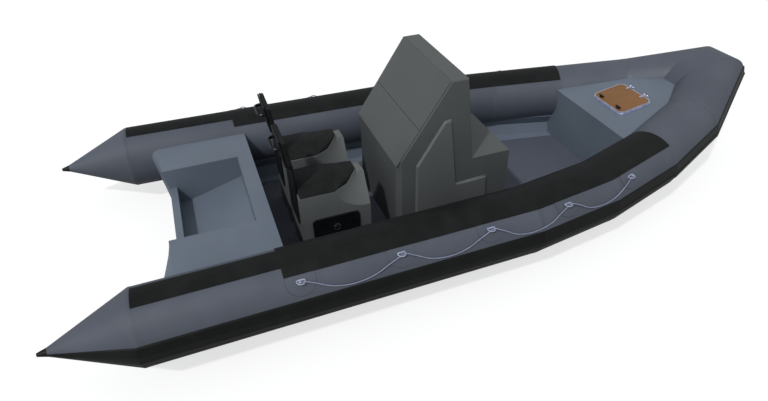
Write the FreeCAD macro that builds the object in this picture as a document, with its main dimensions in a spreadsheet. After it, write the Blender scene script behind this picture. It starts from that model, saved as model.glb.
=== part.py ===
# Rigid inflatable boat with a centre console and two jockey seats.
#
# Millimetres. The origin lies on the waterline, on the centreline, a little aft of amidships.
# +X points to the bow, +Y to port and +Z up. The tubes, the hull and the seats are mirrored
# about the XZ plane.
import FreeCAD, Part
import Sketcher
import math
import os

Vector = FreeCAD.Vector
UP = Vector(0, 0, 1)
SIDES = (("port", 1), ("starboard", -1))

doc = FreeCAD.newDocument("InflatableBoat")
sheet = doc.addObject("Spreadsheet::Sheet", "Sizes")

# Driving dimensions: alias, value, meaning.
DIMENSIONS = [
    ("tube_radius", 257, "radius of the inflated tube"),
    ("tip_x", -3116, "aft end of the tube cones"),
    ("tip_y", 1060, "half-breadth of the cone tips"),
    ("tip_z", 391, "height of the cone tips"),
    ("cap_radius", 30, "radius of the cone where its cap begins"),
    ("cap_length", 62, "length of the cap on the cone's tip"),
    ("strake_top", 18, "angle of the rubbing strake's top edge above the tube's side"),
    ("strake_foot", -28, "angle of its lower edge"),
    ("strake_height", 9, "how far the strake stands out"),
    ("strake_ridge", 9, "extra height of its ridge"),
    ("nose_half_width", 122, "half the width of the nose section where the tubes' centrelines meet it"),
    ("nose_slant", 0.14, "how much wider the nose section grows for each unit forward"),
    ("strip_thickness", 7, "thickness of the wear strip on top of the tube"),
    ("strip_inner_aft", 109, "angle of the wear strip's inner edge, aft of the step"),
    ("strip_inner", 127, "angle of its inner edge, forward of the step"),
    ("strip_outer_aft", 71, "angle of its outer edge, aft of the step"),
    ("strip_outer", 55, "angle of its outer edge, forward of the step"),
    ("strip_step", -1620, "where the wear strip widens"),
    ("strip_gap", 25, "from the cone's seam to the wear strip"),
    ("ring_angle", 46.8, "angle of the lifeline rings above the tube's side"),
    ("ring_width", 62, "width of a lifeline ring"),
    ("ring_wire", 4, "radius of the ring's wire"),
    ("patch_radius", 100, "radius of the patch that holds a ring"),
    ("patch_thickness", 3, "thickness of that patch"),
    ("rope_radius", 6, "radius of the lifeline"),
    ("shell", 25, "thickness of the cockpit's side and bulkhead mouldings"),
    ("sole_z", 20, "top of the cockpit sole"),
    ("sole_thickness", 30, "thickness of the sole"),
    ("mat_thickness", 4, "thickness of the sole's non-slip mat"),
    ("wall_offset", 152, "widest line of the cockpit side, inboard of the tube's centreline"),
    ("wall_knuckle_z", 124, "height of that line"),
    ("wall_foot_offset", 179, "foot of the cockpit side, inboard of the tube's centreline"),
    ("wall_top_offset", 206, "top of the cockpit side, where it meets the tube"),
    ("wall_top_z", 219, "height of that top"),
    ("liner_top", 360, "height to which the cockpit sides reach, inside the tubes"),
    ("deck_z", 535, "top of the aft deck"),
    ("deck_aft", -2285, "aft edge of the aft deck"),
    ("deck_fwd", -1574, "forward edge of the aft deck"),
    ("deck_lip", 34, "thickness of the deck's edge over the transom"),
    ("well_half_width", 456, "half the engine well's width"),
    ("well_fwd", -1668, "forward end of the engine well"),
    ("well_floor_fwd", 338, "height of the well's floor at its forward end"),
    ("well_floor_aft", 209, "height of the well's floor at its aft end"),
    ("well_low_x", -2114, "where the well's floor is lowest"),
    ("transom_aft", -2256, "aft face of the transom"),
    ("transom_fwd", -2200, "forward face of the transom"),
    ("transom_top", 362, "height of the transom's cut-down"),
    ("bulkhead_x", 1530, "aft face of the bow locker"),
    ("bow_deck_z", 526, "height of the bow deck at the bulkhead"),
    ("bow_deck_rise", 0.167, "slope of the bow deck"),
    ("bow_deck_fwd", 2640, "forward end of the bow deck"),
    ("locker_aft", 1745, "aft wall of the bow locker, inside"),
    ("locker_length", 260, "length of the bow locker, inside"),
    ("locker_half_width", 160, "half the bow locker's width, inside"),
    ("locker_floor", 310, "floor of the bow locker"),
    ("console_half_width", 466, "half the console's width"),
    ("console_aft", -577, "aft face of the console"),
    ("console_chamfer", 38, "chamfer of the console's upright aft corners"),
    ("console_round", 9, "radius of the console's edges along its sides"),
    ("dash_low_z", 717, "lower edge of the dash"),
    ("dash_seam_x", -390, "seam between the lower and the upper dash"),
    ("dash_seam_z", 992, "height of that seam"),
    ("console_top_aft", -149, "aft edge of the console's top"),
    ("console_top_fwd", -16, "forward edge of the console's top"),
    ("console_top_z", 1347, "height of the console's top"),
    ("console_knee_x", 61, "foot of the console's forward face, on the step"),
    ("step_top_z", 653, "height of the seat in front of the console"),
    ("step_fwd", 390, "forward face of that seat"),
    ("panel_thickness", 16, "how far the console's side panels stand out"),
    ("panel_bevel", 14, "bevel round the side panels"),
    ("dash_thickness", 8, "thickness of the dash panels"),
    ("dash_margin", 10, "how far the dash panels stay inside the console's sides"),
    ("seat_spacing", 530, "between the centrelines of the two seats"),
    ("pod_width", 410, "width of a seat pod"),
    ("pod_aft", -1345, "aft face of the pods"),
    ("pod_fwd", -801, "forward face of the pods"),
    ("pod_top", 632, "top edge of the pods, at the side"),
    ("knee_x", -960, "where the seat begins to rise to its pommel"),
    ("pommel_x", -868, "aft edge of the pommel's grey lip"),
    ("pommel_z", 696, "height of the pommel"),
    ("pommel_crown", 100, "radius of the pommel's rounded top, across the boat"),
    ("pommel_shoulder", 40, "how far below the pommel's top that rounding reaches"),
    ("scallop_x", -820, "centre of the knee scallops"),
    ("scallop_z", 720, "height of their centre"),
    ("scallop_radius", 268, "radius of a scallop at the pod's side"),
    ("scallop_depth", 175, "depth of a scallop at its centre"),
    ("cushion_gap", 0.3, "clearance of soft pads and panels from what carries them"),
    ("cushion_edge", 5, "height of the seat cushion at its sides"),
    ("cushion_crown", 46, "height of the crown of the cushion over its sides"),
    ("door_aft", -1268, "aft edge of a pod's side hatch"),
    ("door_fwd", -895, "forward edge of a pod's side hatch"),
    ("door_low", 225, "lower edge of a pod's side hatch"),
    ("door_high", 420, "upper edge of a pod's side hatch"),
    ("door_rim", 18, "width of the side hatch's frame"),
    ("door_corner", 34, "radius of the side hatch's corners"),
    ("door_thickness", 7, "thickness of the side hatch's door"),
    ("frame_thickness", 6, "thickness of the side hatch's frame"),
    ("door_gap", 5, "running gap round the side hatch's door"),
    ("barrel_radius", 5, "radius of the side hatch's hinge barrels"),
    ("pin_radius", 2, "radius of their pins"),
    ("barrel_inset", 80, "from the ends of the side hatch to the middles of its hinges"),
    ("pod_locker_depth", 300, "depth of the locker behind the side hatch"),
    ("back_width", 306, "width of a backrest pad"),
    ("back_low", 890, "lower edge of the backrest pad"),
    ("back_high", 1098, "upper edge of the backrest pad"),
    ("back_x", -1350, "forward face of the pad at its lower edge"),
    ("back_lean", 25, "how far the pad's top lies aft of its foot"),
    ("back_thickness", 38, "thickness of the backrest pad"),
    ("plate_width", 262, "width of the backrest's plate"),
    ("plate_low", 360, "lower end of the backrest's plate"),
    ("plate_thickness", 12, "thickness of the backrest's plate"),
    ("hoop_z", 1024, "height of the grab hoop"),
    ("hoop_reach", 47, "how far the grab hoop stands aft of the plate"),
    ("hoop_radius", 12, "radius of the grab hoop's tube"),
    ("hoop_half_width", 92, "half the grab hoop's width"),
    ("hatch_x", 1862, "centre of the bow hatch"),
    ("hatch_length", 350, "length of the bow hatch, fore and aft"),
    ("hatch_width", 430, "width of the bow hatch"),
    ("hatch_corner", 62, "radius of the bow hatch's corners"),
    ("hatch_flange", 30, "width of the bow hatch's deck flange"),
    ("hatch_height", 10, "height of the deck flange"),
    ("lid_rim", 8, "width of the lid's metal rim"),
    ("lid_thickness", 14, "thickness of the lid"),
    ("hinge_offset", 14, "from the hatch frame's forward edge to the hinge pins"),
    ("hinge_pin", 3, "radius of the hinge pins"),
    ("hinge_barrel", 7, "radius of the lid's hinge knuckles"),
    ("hinge_spacing", 190, "between the bow hatch's two hinges"),
    ("hinge_arm", 70, "length of a hinge's arm on the lid"),
    ("handle_inset", 95, "from the lid's sides to its handles"),
]

# Corners of a tube's centreline: name, x, y, z. From the last one it runs to the point where
# the two centrelines would cross.
TUBE_CORNERS = [
    ("quarter", -2548, 1053, 392),
    ("waist", 242, 995, 364),
    ("shoulder", 953, 887, 359),
    ("cheek", 1631, 700, 393),
    ("bow", 2273, 434, 468),
]

# Sections of the hull: name, x, keel height, chine half-breadth, chine height,
# half-breadth and height of the rail, which lies inside the tube.
HULL_SECTIONS = [
    ("transom", -2200, -360, 940, -50, 960, 200),
    ("midship", 242, -370, 920, -45, 930, 180),
    ("shoulder", 953, -350, 800, -40, 810, 175),
    ("cheek", 1631, -260, 640, -30, 640, 200),
    ("bow", 2273, -60, 360, 110, 370, 300),
    ("forefoot", 2640, 230, 140, 330, 150, 430),
    ("stem", 2760, 400, 30, 430, 60, 500),
]

# Point where the tubes' centrelines would cross, ahead of the nose section's middle.
CROSSING = (2898, 0, 673)

# Lifeline rings: x of each, counted from aft.
RING_STATIONS = [-1527, -840, -165, 472, 1108]

row_number = 0


def put(alias, value, meaning):
    """Write one named size into the next row of the sheet."""
    global row_number
    row_number += 1
    sheet.set("A%d" % row_number, meaning)
    sheet.set("B%d" % row_number, str(value))
    sheet.setAlias("B%d" % row_number, alias)


for alias, value, meaning in DIMENSIONS:
    put(alias, value, meaning)
for corner, x, y, z in TUBE_CORNERS:
    for axis, value in (("x", x), ("y", y), ("z", z)):
        put("corner_%s_%s" % (corner, axis), value, "tube corner %s, %s" % (corner, axis))
for axis, value in zip("xyz", CROSSING):
    put("crossing_" + axis, value, "crossing of the tube centrelines, " + axis)
SECTION_COLUMNS = ("x", "keel_z", "chine_y", "chine_z", "rail_y", "rail_z")
for section in HULL_SECTIONS:
    for column, value in zip(SECTION_COLUMNS, section[1:]):
        put("hull_%s_%s" % (section[0], column), value, "hull at %s, %s" % (section[0], column))
for number, x in enumerate(RING_STATIONS, 1):
    put("ring_station_%d" % number, x, "x of lifeline ring %d" % number)
doc.recompute()


def value_of(expression):
    """The number that an expression on the sheet gives now."""
    result = sheet.evalExpression(expression)
    return float(getattr(result, "Value", result))


def size(alias):
    return value_of(alias)


NODES = []


def keep(thing, label):
    """Name a finished sub-part and remember it for export."""
    thing.Label = label
    NODES.append(thing)
    return thing


def feature(label, shape):
    """A sub-part whose shape is made with Part's own functions."""
    thing = doc.addObject("Part::Feature", "Shape_" + label)
    thing.Shape = shape
    return keep(thing, label)


def bind(thing, **expressions):
    for name, expression in expressions.items():
        thing.setExpression(name.replace("__", "."), str(expression))


def box(name, x0, x1, y0, y1, z0, z1):
    """A box between two corners given as expressions."""
    thing = doc.addObject("Part::Box", name)
    bind(thing, Length="(%s) - (%s)" % (x1, x0), Width="(%s) - (%s)" % (y1, y0),
         Height="(%s) - (%s)" % (z1, z0), Placement__Base__x=x0, Placement__Base__y=y0,
         Placement__Base__z=z0)
    return thing


def joined(kind, name, base, tool):
    """A boolean of two objects: kind is Cut, Fuse or Common."""
    thing = doc.addObject("Part::" + kind, name)
    thing.Base = base
    thing.Tool = tool
    return thing


def origin_plane(body, role):
    for plane in body.Origin.OriginFeatures:
        if plane.Role == role:
            return plane


def polygon_sketch(body, name, role, points, offset="0"):
    """A closed outline on an origin plane; each point is a pair of expressions."""
    sketch = body.newObject("Sketcher::SketchObject", name)
    sketch.AttachmentSupport = [(origin_plane(body, role), "")]
    sketch.MapMode = "FlatFace"
    sketch.setExpression("AttachmentOffset.Base.z", offset)
    places = [Vector(value_of(u), value_of(v), 0) for u, v in points]
    count = len(places)
    for i in range(count):
        sketch.addGeometry(Part.LineSegment(places[i], places[(i + 1) % count]), False)
    for i in range(count):
        sketch.addConstraint(Sketcher.Constraint("Coincident", i, 2, (i + 1) % count, 1))
    for i, (u, v) in enumerate(points):
        for kind, place, expression in (("DistanceX", places[i].x, u), ("DistanceY", places[i].y, v)):
            index = sketch.addConstraint(Sketcher.Constraint(kind, -1, 1, i, 1, place))
            sketch.setExpression("Constraints[%d]" % index, expression)
    return sketch


def side_profile(name, points, y_low, y_high):
    """A body padded across the boat from an outline in X and Z, between two Y planes."""
    body = doc.addObject("PartDesign::Body", name)
    # The XZ plane of a body faces -Y, so the outline lies at its +Y end.
    sketch = polygon_sketch(body, name + "_outline", "XZ_Plane", points, "-(%s)" % y_high)
    pad = body.newObject("PartDesign::Pad", name + "_pad")
    pad.Profile = sketch
    pad.setExpression("Length", "(%s) - (%s)" % (y_high, y_low))
    return body


def rounded(shape, radius, test):
    """Fillet the straight edges that pass a test on their two ends."""
    edges = []
    for edge in shape.Edges:
        if len(edge.Vertexes) == 2 and test(edge.Vertexes[0].Point, edge.Vertexes[1].Point):
            edges.append(edge)
    return shape.makeFillet(radius, edges)


# The tube's path

CORNERS = [Vector(size("corner_%s_x" % c[0]), size("corner_%s_y" % c[0]), size("corner_%s_z" % c[0]))
           for c in TUBE_CORNERS]
# Beyond anything on the boat, for blocks that only cut.
REACH = 1.3 * abs(size("tip_x"))


def mirrored(point):
    return Vector(point.x, -point.y, point.z)


def half_space(point, normal):
    """A large block on the far side of a plane, to cut with."""
    block = Part.makeBox(2 * REACH, 2 * REACH, 2 * REACH, Vector(-REACH, -REACH, 0))
    block.Placement = FreeCAD.Placement(point, FreeCAD.Rotation(UP, normal))
    return block


def reflected(vector, normal):
    return vector - normal * (2 * vector.dot(normal))


def path_frames():
    """Each run of the port tube, from the quarter to the nose section.

    Gives start, end, direction, outboard and upward vectors, and the normals of the planes
    that cut both ends. The profile's frame is reflected at each mitre, so that neighbours
    meet exactly.
    """
    points = CORNERS + [NOSE]
    directions = [(b - a).normalize() for a, b in zip(points, points[1:])]
    normals = [directions[0]]
    normals += [(a + b).normalize() for a, b in zip(directions, directions[1:])]
    normals.append(NOSE_CUT)
    outboard = UP.cross(directions[0]).normalize()
    upward = directions[0].cross(outboard).normalize()
    frames = []
    for i, direction in enumerate(directions):
        if i:
            outboard = reflected(outboard, normals[i])
            upward = reflected(upward, normals[i])
        frames.append((points[i], points[i + 1], direction, outboard, upward,
                       normals[i], normals[i + 1]))
    return frames


# The bow runs end at an upright plane, which spreads a little towards the bow.
crossing = Vector(size("crossing_x"), size("crossing_y"), size("crossing_z"))
last_run = crossing - CORNERS[-1]
NOSE = crossing - last_run * (size("nose_half_width") / CORNERS[-1].y)
NOSE_CUT = Vector(size("nose_slant"), -1, 0).normalize()
FRAMES = path_frames()


def mitred_run(run, face_maker):
    """Extrude a section along one run and cut it at its ends."""
    start, end, direction, outboard, upward, normal_a, normal_b = FRAMES[run]
    overlap = 3 * size("tube_radius")
    length = (end - start).Length
    face = face_maker(start - direction * overlap, outboard, upward)
    solid = face.extrude(direction * (length + 2 * overlap))
    solid = solid.cut(half_space(start, normal_a * -1))
    return solid.cut(half_space(end, normal_b))


def mitred_bar(runs, face_maker):
    pieces = [mitred_run(run, face_maker) for run in runs]
    if len(pieces) == 1:
        return pieces[0]
    return pieces[0].multiFuse(pieces[1:]).removeSplitter()


def across_nose(bar):
    """Carry the forward end of a port bar across the nose section, to its mirror image."""
    def on_cut(face):
        return abs((face.CenterOfMass - NOSE).dot(NOSE_CUT)) < 0.01
    end_face = [f for f in bar.Faces if on_cut(f) and abs(f.normalAt(0, 0).dot(NOSE_CUT)) > 0.999][0]
    section = end_face.extrude(Vector(0, -REACH / 4, 0))
    return section.cut(half_space(mirrored(NOSE), Vector(-NOSE_CUT.x, NOSE_CUT.y, 0)))


def disc(radius):
    def maker(origin, outboard, upward):
        return Part.Face(Part.Wire(Part.makeCircle(radius, origin, outboard.cross(upward))))
    return maker


def polar(origin, outboard, upward, radius, degrees):
    angle = math.radians(degrees)
    return origin + outboard * (radius * math.cos(angle)) + upward * (radius * math.sin(angle))


def sector(inner, outer, low, high):
    """A band of the tube's section between two radii and two angles."""
    def maker(origin, outboard, upward):
        def at(radius, degrees):
            return polar(origin, outboard, upward, radius, degrees)
        middle = (low + high) / 2
        edges = [Part.Arc(at(outer, low), at(outer, middle), at(outer, high)).toShape(),
                 Part.makeLine(at(outer, high), at(inner, high)),
                 Part.Arc(at(inner, high), at(inner, middle), at(inner, low)).toShape(),
                 Part.makeLine(at(inner, low), at(outer, low))]
        return Part.Face(Part.Wire(edges))
    return maker


def other_side(shape):
    """The starboard twin of a port shape."""
    return shape.mirror(Vector(0, 0, 0), Vector(0, 1, 0))


RADIUS = size("tube_radius")
RUNS = list(range(len(FRAMES)))

# Tubes, cones and caps

port_tube = mitred_bar(RUNS, disc(RADIUS))
TUBES = {"port": port_tube, "starboard": other_side(port_tube), "nose": across_nose(port_tube)}
for name, tube in TUBES.items():
    feature("tube_" + name, tube)

# The cones carry the tubes on from the quarters, so both end in planes square to the first run.
quarter = CORNERS[0]
_, _, first, side_out, side_up = FRAMES[0][:5]
tip = Vector(size("tip_x"), size("tip_y"), size("tip_z"))
cone_vector = tip - quarter
cap_share = size("cap_length") / cone_vector.Length
cone_end = tip - cone_vector * cap_share


def circle_at(radius, centre):
    return Part.Wire(Part.makeCircle(radius, centre, first))


cone = Part.makeLoft([circle_at(RADIUS, quarter), circle_at(size("cap_radius"), cone_end)], True, True)
cap = Part.makeLoft([circle_at(size("cap_radius"), cone_end), circle_at(size("cap_radius") * 0.4, tip)], True, True)
feature("cone_port", cone)
feature("cone_starboard", other_side(cone))
feature("cone_caps", Part.makeCompound([cap, other_side(cap)]))

# Rubbing strake, from the cones round the whole tube

# Outline of the strake's section: share of the span from its lower edge up, and which part of
# the height and of the ridge it has there.
STRAKE_OUTLINE = [(0.0, 0.25, 0), (0.04, 0.6, 0), (0.38, 1, 0), (0.42, 1, 1), (0.57, 1, 1), (0.64, 1, 0),
                  (0.95, 0.8, 0), (1.0, 0.25, 0)]


def strake_wire(origin, outboard, upward, scale=1.0):
    """Section of the strake: a flat band with a ridge a little below its middle."""
    low, high = size("strake_foot"), size("strake_top")

    def at(radius, share):
        return polar(origin, outboard, upward, radius * scale, low + (high - low) * share)
    points = [at(RADIUS + size("strake_height") * h + size("strake_ridge") * r, share)
              for share, h, r in STRAKE_OUTLINE]
    edges = [Part.makeLine(a, b) for a, b in zip(points, points[1:])]
    edges.append(Part.makeLine(points[-1], at(RADIUS, 1.0)))
    edges.append(Part.Arc(at(RADIUS, 1.0), at(RADIUS, 0.5), at(RADIUS, 0.0)).toShape())
    edges.append(Part.makeLine(at(RADIUS, 0.0), points[0]))
    return Part.Wire(edges)


def strake_face(origin, outboard, upward):
    return Part.Face(strake_wire(origin, outboard, upward))


strake_bar = mitred_bar(RUNS, strake_face)
strake_nose = across_nose(strake_bar).cut(half_space(Vector(0, 0, 0), Vector(0, -1, 0)))
strake_cone = Part.makeLoft([strake_wire(quarter, side_out, side_up),
                             strake_wire(cone_end, side_out, side_up, size("cap_radius") / RADIUS)],
                            True, True)
strake = strake_bar.multiFuse([strake_nose, strake_cone]).removeSplitter()
feature("strake_port", strake)
feature("strake_starboard", other_side(strake))

# Wear strip on top of each tube


def strip_piece(runs, low, high, x0, x1):
    band = mitred_bar(runs, sector(RADIUS, RADIUS + size("strip_thickness"), low, high))
    window = Part.makeBox(x1 - x0, 2 * REACH, REACH, Vector(x0, -REACH, 0))
    return band.common(window)


STRIP_RUNS = RUNS[:3]
strip_aft = strip_piece(STRIP_RUNS, size("strip_outer_aft"), size("strip_inner_aft"),
                        quarter.x + size("strip_gap"), size("strip_step"))
strip_main = strip_piece(STRIP_RUNS, size("strip_outer"), size("strip_inner"),
                         size("strip_step"), REACH / 2)
wear_strip = strip_aft.fuse(strip_main).removeSplitter()
feature("wear_strip_port", wear_strip)
feature("wear_strip_starboard", other_side(wear_strip))

# Hull


def hull_wire(name):
    def read(column):
        return size("hull_%s_%s" % (name, column))
    x = read("x")
    half = [Vector(x, read("chine_y"), read("chine_z")), Vector(x, read("rail_y"), read("rail_z"))]
    other = [mirrored(p) for p in reversed(half)]
    points = [Vector(x, 0, read("keel_z"))] + half + other
    return Part.makePolygon(points + points[:1])


def plan_line(offset):
    """The tube's centreline in plan, moved inboard by an offset, as (x, y) pairs."""
    plan = [Vector(p.x, p.y, 0) for p in CORNERS + [NOSE]]
    directions = [(b - a).normalize() for a, b in zip(plan, plan[1:])]
    inboard = [UP.cross(d) * -1 for d in directions]
    line = [plan[0] + inboard[0] * offset]
    for i in range(1, len(plan) - 1):
        half = (inboard[i - 1] + inboard[i]).normalize()
        line.append(plan[i] + half * (offset / half.dot(inboard[i])))
    line.append(plan[-1] + inboard[-1] * offset)
    return [(p.x, p.y) for p in line]


def breadth(line, x):
    """Half-breadth of a plan line at x."""
    for (x0, y0), (x1, y1) in zip(line, line[1:]):
        if x0 <= x <= x1:
            return y0 + (y1 - y0) * (x - x0) / (x1 - x0)
    return line[-1][1]


def plan_prism(line, x0, x1, z0, z1):
    """The room between a plan line and its mirror image, from x0 to x1 and z0 to z1."""
    inside = [(x, y) for x, y in line if x0 < x < x1]
    edge = [(x0, breadth(line, x0))] + inside + [(x1, breadth(line, x1))]
    points = [Vector(x, y, z0) for x, y in edge] + [Vector(x, -y, z0) for x, y in reversed(edge)]
    return Part.Face(Part.makePolygon(points + points[:1])).extrude(Vector(0, 0, z1 - z0))


def profile_prism(points, y0, y1):
    """An outline in X and Z, extruded across the boat."""
    corners = [Vector(x, y0, z) for x, z in points]
    return Part.Face(Part.makePolygon(corners + corners[:1])).extrude(Vector(0, y1 - y0, 0))


hull_form = Part.makeLoft([hull_wire(s[0]) for s in HULL_SECTIONS], True, True)


ALL_TUBES = TUBES["port"].multiFuse([TUBES["nose"], TUBES["starboard"]])


def clear_of_tubes(shape):
    return shape.cut(ALL_TUBES)



wall_out = plan_line(size("wall_offset") - size("shell"))
tube_line = plan_line(0)
sole_z = size("sole_z")
sole_low = sole_z - size("sole_thickness")
deck_fwd = size("deck_fwd")
bulkhead = size("bulkhead_x")
shell = size("shell")
cockpit = plan_prism(wall_out, deck_fwd, bulkhead, sole_low, REACH / 4)

bow_slope = size("bow_deck_rise")


def bow_deck_height(x):
    return size("bow_deck_z") + bow_slope * (x - bulkhead)


hull = clear_of_tubes(hull_form.cut(cockpit))
feature("hull", hull)

# Cockpit sole, mat and sides

sole = plan_prism(wall_out, deck_fwd, bulkhead, sole_low, sole_z)
feature("sole", clear_of_tubes(sole))

# Half-breadth of the mat's edge: x, y.
MAT_EDGE = [(deck_fwd + shell + 30, 748), (204, 746), (980, 566), (bulkhead - shell - 4, 468)]
mat_top = sole_z + size("mat_thickness")
feature("sole_mat", plan_prism(MAT_EDGE, MAT_EDGE[0][0], MAT_EDGE[-1][0], sole_z, mat_top))



def plan_bar(section):
    """A moulding that follows the tubes in plan: its section is a list of (offset, z)."""
    lines = [plan_line(offset) for offset, z in section]
    wires = []
    for i in range(len(CORNERS) + 1):
        ends = [Vector(line[i][0], line[i][1], z) for line, (offset, z) in zip(lines, section)]
        wires.append(Part.makePolygon(ends + ends[:1]))
    lofts = [Part.makeLoft([a, b], True, True) for a, b in zip(wires, wires[1:])]
    return lofts[0].multiFuse(lofts[1:]).removeSplitter()


# From the sole the cockpit's side rises outboard as a cove, then leans in under the tube.
liner_out, liner_top = size("wall_offset") - shell, size("liner_top")
LINER_SECTION = [(liner_out, sole_z), (size("wall_foot_offset"), sole_z),
                 (size("wall_offset"), size("wall_knuckle_z")),
                 (size("wall_top_offset"), size("wall_top_z")),
                 (size("wall_top_offset"), liner_top), (liner_out, liner_top)]
aft_end, fwd_end = deck_fwd + shell, bulkhead - shell
liner_window = Part.makeBox(fwd_end - aft_end, REACH, 2 * REACH, Vector(aft_end, 0, -REACH))
liner = clear_of_tubes(plan_bar(LINER_SECTION).common(liner_window))
liner = min(liner.Solids, key=lambda part: part.CenterOfMass.z)
feature("side_liner_port", liner)
feature("side_liner_starboard", other_side(liner))

# Aft deck with its engine well, and the transom

deck_z = size("deck_z")
transom_fwd, transom_aft = size("transom_fwd"), size("transom_aft")
well_y = size("well_half_width")
low_block = plan_prism(wall_out, transom_fwd, deck_fwd + shell, sole_z, size("liner_top"))
high_block = plan_prism(tube_line, transom_fwd, deck_fwd + shell, size("liner_top"), deck_z)
behind = plan_prism(tube_line, transom_fwd, deck_fwd, sole_low, REACH / 4)
block = clear_of_tubes(low_block.fuse(high_block)).cut(hull_form.common(behind))
well = profile_prism([(size("well_fwd"), REACH / 4), (size("well_fwd"), size("well_floor_fwd")),
                      (size("well_low_x"), size("well_floor_aft")),
                      (transom_fwd, size("well_floor_aft")), (transom_fwd, REACH / 4)], -well_y, well_y)
block = block.cut(well)
lip = plan_prism(tube_line, size("deck_aft"), transom_fwd, deck_z - size("deck_lip"), deck_z)
lip = clear_of_tubes(lip.cut(Part.makeBox(REACH, 2 * well_y, REACH, Vector(-REACH, -well_y, 0))))
stern = hull_wire(HULL_SECTIONS[0][0])
board = Part.Face(stern).extrude(Vector(transom_aft - transom_fwd, 0, 0))
upper = plan_prism(wall_out, transom_aft, transom_fwd, sole_z, size("liner_top"))
upper = upper.fuse(plan_prism(tube_line, transom_aft, transom_fwd, size("liner_top"),
                              deck_z - size("deck_lip")))
upper = upper.cut(Part.makeBox(REACH, 2 * well_y, REACH, Vector(-REACH, -well_y, size("transom_top"))))
transom = clear_of_tubes(board.fuse(upper)).removeSplitter()
transom = max(transom.Solids, key=lambda s: s.Volume)
feature("transom", transom)

# The deck's aft corners turn down into fairings that flare aft along the tubes.
deck_aft, sill = size("deck_aft"), size("transom_top")
# x and z of the fairing's aft outline, from the deck down, beside the well and at the tube.
AT_WELL = [(deck_aft, deck_z), (deck_aft + 1, deck_z - 20), (deck_aft + 3, deck_z - 42),
           (deck_aft + 8, deck_z - 72), (transom_aft - 5, sill + 18), (transom_aft, sill - 32),
           (transom_aft, sole_z + 130)]
AT_TUBE = [(deck_aft, deck_z), (deck_aft - 40, deck_z - 8), (deck_aft - 66, deck_z - 27),
           (deck_aft - 81, deck_z - 60), (deck_aft - 77, deck_z - 135), (deck_aft - 63, deck_z - 215),
           (deck_aft - 40, sole_z + 150)]


def fairing_wire(outline, y):
    closing = [(transom_fwd, sole_z + 130), (transom_fwd, deck_z)]
    points = [Vector(x, y, z) for x, z in outline + closing]
    return Part.makePolygon(points + points[:1])


fairing = Part.makeLoft([fairing_wire(AT_WELL, well_y), fairing_wire(AT_TUBE, well_y + 394)], True, True)
fairing = clear_of_tubes(fairing).cut(transom)
fairing = max(fairing.Solids, key=lambda part: part.Volume)
aft_deck = block.multiFuse([lip, fairing, other_side(fairing)])
feature("aft_deck", max(aft_deck.Solids, key=lambda part: part.Volume))

# Bow locker moulding: bulkhead, deck and the locker's room under the hatch

bow_fwd = size("bow_deck_fwd")
bow_profile = [(bulkhead - shell, sole_z), (bulkhead - shell, size("bow_deck_z") - bow_slope * shell),
               (bow_fwd, bow_deck_height(bow_fwd)), (bow_fwd, sole_z)]
bow_block = profile_prism(bow_profile, -REACH / 2, REACH / 2)
room = plan_prism(wall_out, bulkhead - shell, bow_fwd, sole_z, size("liner_top"))
room = room.fuse(plan_prism(tube_line, bulkhead - shell, bow_fwd, size("liner_top"), REACH / 4))
bow_block = bow_block.common(room)
# Ahead of the bulkhead's plane the moulding lies on the hull; abaft it, it closes the cockpit.
ahead = hull_form.common(Part.makeBox(REACH, 2 * REACH, REACH, Vector(bulkhead, -REACH, -REACH / 2)))
outside = plan_prism(wall_out, bulkhead - shell, bulkhead, sole_low, REACH / 4)
slab = hull_form.common(Part.makeBox(shell, 2 * REACH, REACH, Vector(bulkhead - shell, -REACH, -REACH / 2)))
bow_block = clear_of_tubes(bow_block.cut(ahead).cut(slab.cut(outside)))
locker_x, locker_y = size("locker_aft"), size("locker_half_width")
locker = Part.makeBox(size("locker_length"), 2 * locker_y, REACH / 4,
                      Vector(locker_x, -locker_y, size("locker_floor")))
bow_block = bow_block.cut(locker)
feature("bow_locker", max(bow_block.Solids, key=lambda s: s.Volume))

# Console

CONSOLE_SIDE = [("Sizes.console_aft", "Sizes.sole_z + Sizes.mat_thickness"),
                ("Sizes.console_aft", "Sizes.dash_low_z"),
                ("Sizes.dash_seam_x", "Sizes.dash_seam_z"),
                ("Sizes.console_top_aft", "Sizes.console_top_z"),
                ("Sizes.console_top_fwd", "Sizes.console_top_z"),
                ("Sizes.console_knee_x", "Sizes.step_top_z"),
                ("Sizes.step_fwd", "Sizes.step_top_z"),
                ("Sizes.step_fwd", "Sizes.sole_z + Sizes.mat_thickness")]
console = side_profile("console_body", CONSOLE_SIDE, "-Sizes.console_half_width", "Sizes.console_half_width")
doc.recompute()
side_y = size("console_half_width")


def upright_aft(a, b):
    return (abs(a.x - size("console_aft")) < 1 and abs(b.x - size("console_aft")) < 1
            and abs(a.z - b.z) > 100)


def along_side(a, b):
    """An edge round a side face, above the sole and not one of the chamfered corners."""
    on_side = abs(abs(a.y) - side_y) < 1 and abs(a.y - b.y) < 1
    return on_side and max(a.z, b.z) > size("dash_low_z") + 1 and min(a.z, b.z) > sole_z + 10


console_shape = console.Shape
corners = [edge for edge in console_shape.Edges
           if upright_aft(edge.Vertexes[0].Point, edge.Vertexes[-1].Point)]
console_shape = console_shape.makeChamfer(size("console_chamfer"), corners)
console_shape = rounded(console_shape, size("console_round"), along_side)
feature("console", console_shape)


def slanted_plate(label, x0, z0, x1, z1, thickness, half_width, trim):
    """A plate on a sloping face that runs from (x0, z0) up to (x1, z1)."""
    along = Vector(x1 - x0, 0, z1 - z0).normalize()
    normal = Vector(-along.z, 0, along.x)
    a = Vector(x0, -half_width, z0) + along * trim
    b = Vector(x1, -half_width, z1) - along * trim
    across = Vector(0, 2 * half_width, 0)
    face = Part.Face(Part.makePolygon([a, b, b + across, a + across, a]))
    feature(label, face.extrude(normal * thickness))


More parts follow.
